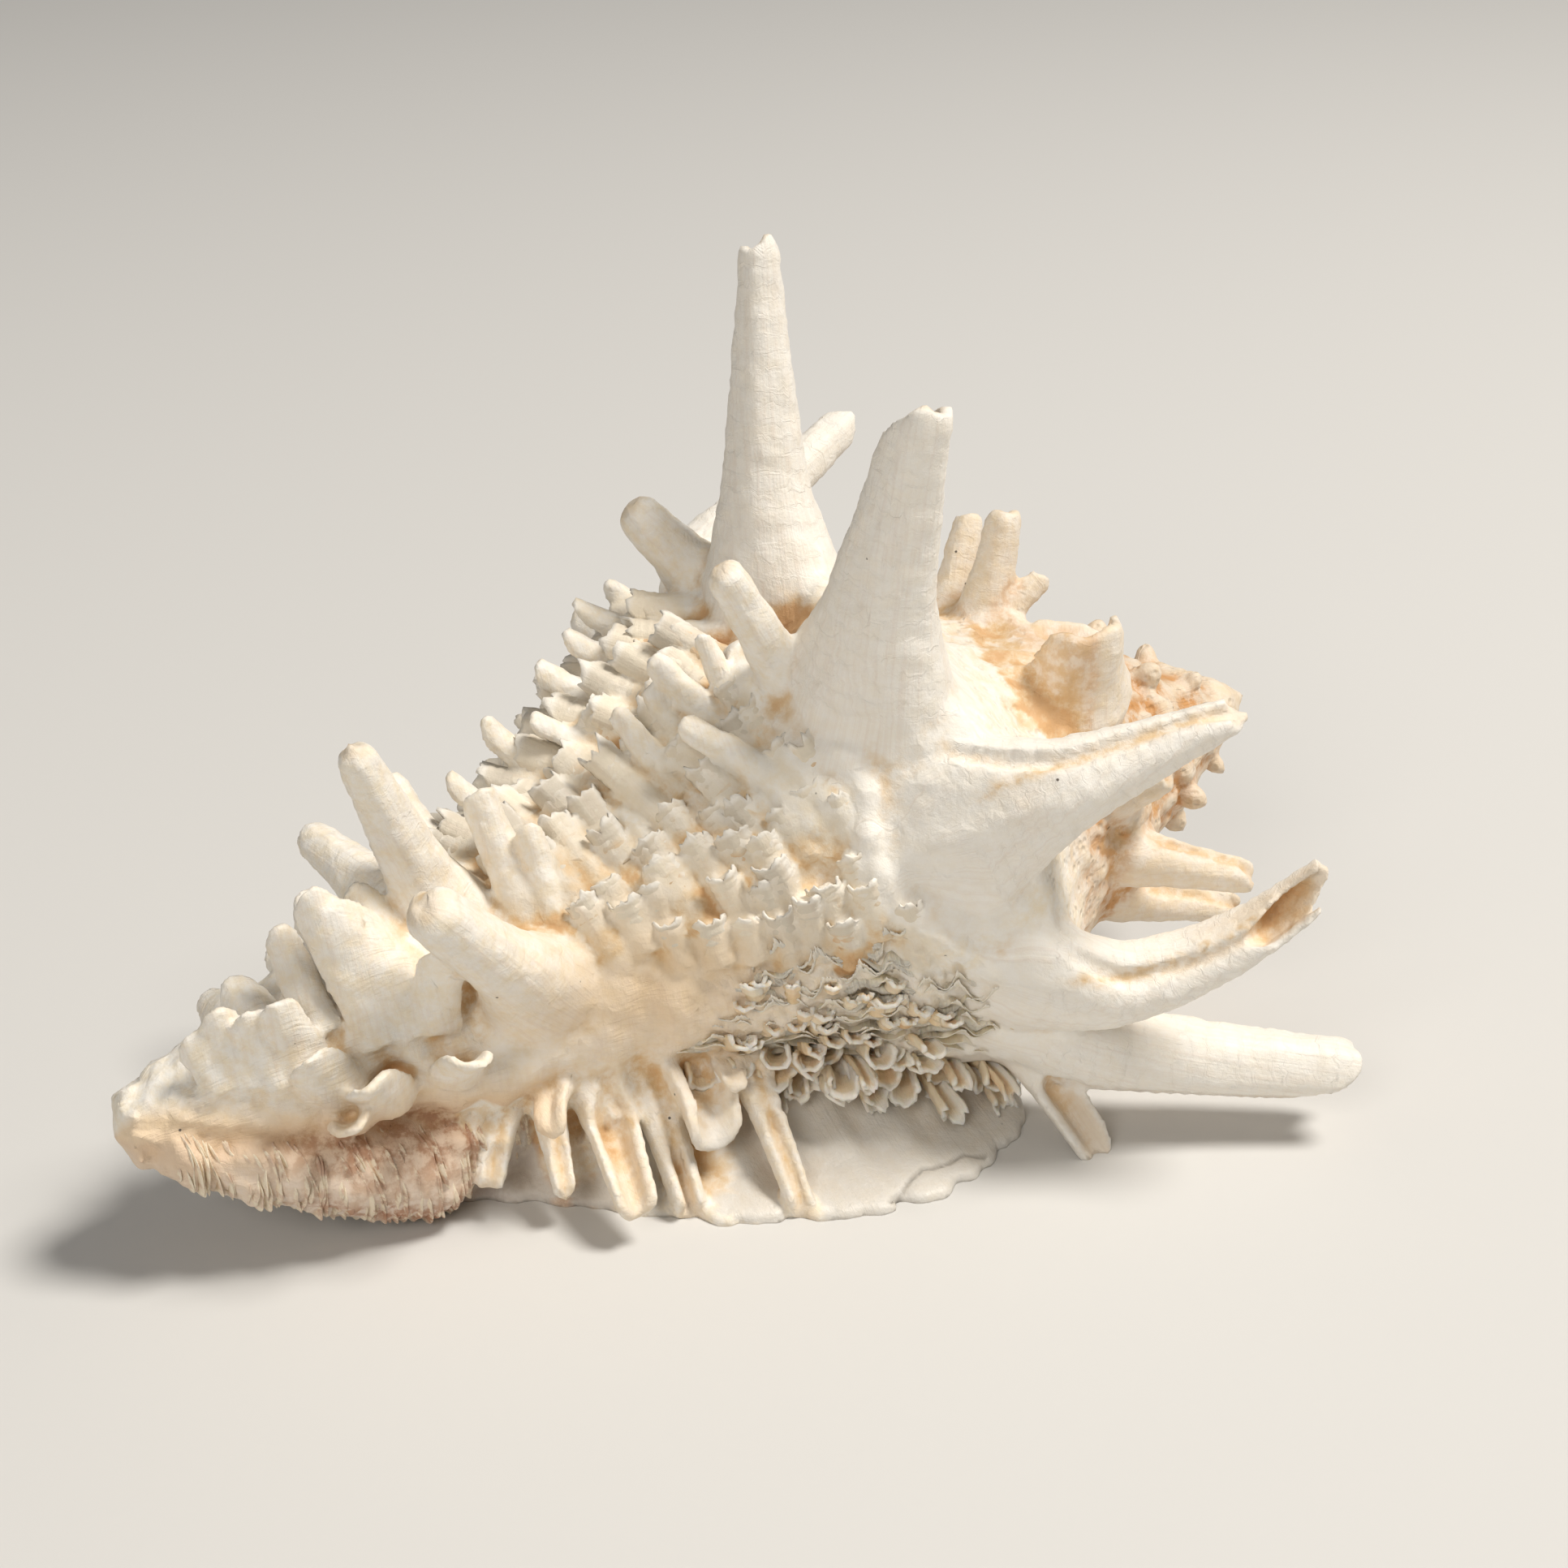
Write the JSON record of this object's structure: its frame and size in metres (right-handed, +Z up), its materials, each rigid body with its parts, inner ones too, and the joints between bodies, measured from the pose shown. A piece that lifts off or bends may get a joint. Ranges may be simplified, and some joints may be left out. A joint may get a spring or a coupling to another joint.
{
  "type": "vase shell",
  "caption": "Spiny right-handed sea shell lying on its opening, with hollow tube spines on the shoulder, scaly spiral cords and a low spire.",
  "frame": {"origin": "on the floor under the middle of the shell's overall box", "axes": "+Z up from the floor it lies on, +X from the canal end to the spire end across the front view, +Y away from the viewer"},
  "size_m": [0.0978, 0.0759, 0.0717],
  "materials": {
    "shell": "chalky cream white with tan and rust stains, matt to satin"
  },
  "bodies": {
    "root": {"shell": "shell"}
  },
  "joints": []
}
